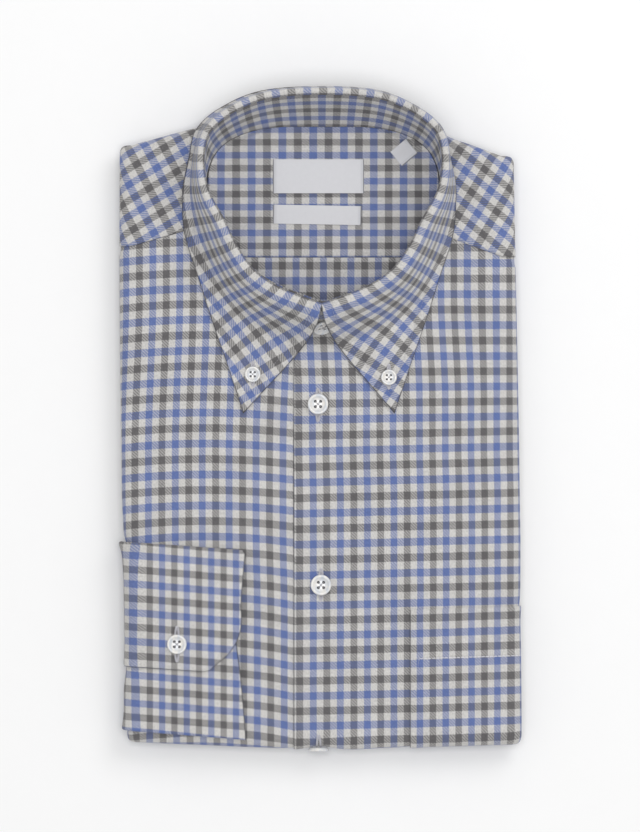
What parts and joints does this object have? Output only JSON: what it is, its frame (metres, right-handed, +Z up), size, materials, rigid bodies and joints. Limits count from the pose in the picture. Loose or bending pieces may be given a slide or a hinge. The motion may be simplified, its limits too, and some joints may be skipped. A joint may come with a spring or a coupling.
{
  "type": "folded check flannel shirt with a button-down collar",
  "caption": "Long-sleeved check flannel shirt folded flat for a shelf, with a standing button-down collar, a chest pocket and one cuff folded over the front.",
  "frame": {"origin": "middle of the folded shirt's footprint, on the surface that it lies on", "axes": "+Y from the tail fold to the collar's nape, +X to the wearer's left, +Z up out of the fronts"},
  "size_m": [0.2263, 0.374, 0.0542],
  "materials": {
    "flannel": "brushed cotton twill in an off-white, blue and grey check, with a soft nap",
    "label": "smooth pale woven tape, left blank",
    "button": "white pearly polyester, lightly mottled"
  },
  "bodies": {
    "root": {"folded_body": "flannel", "right_front": "flannel", "left_front": "flannel", "right_yoke": "flannel", "left_yoke": "flannel", "inner_yoke": "flannel", "back_panel": "flannel", "collar_stand": "flannel", "collar_fall": "flannel", "pocket": "flannel", "right_cuff": "flannel", "right_sleeve": "flannel", "neck_label": "label", "origin_label": "label", "size_tab": "label", "collar_button_right": "button", "collar_button_left": "button", "stand_button": "button", "front_button_1": "button", "front_button_2": "button", "front_button_3": "button", "cuff_button": "button"}
  },
  "joints": []
}
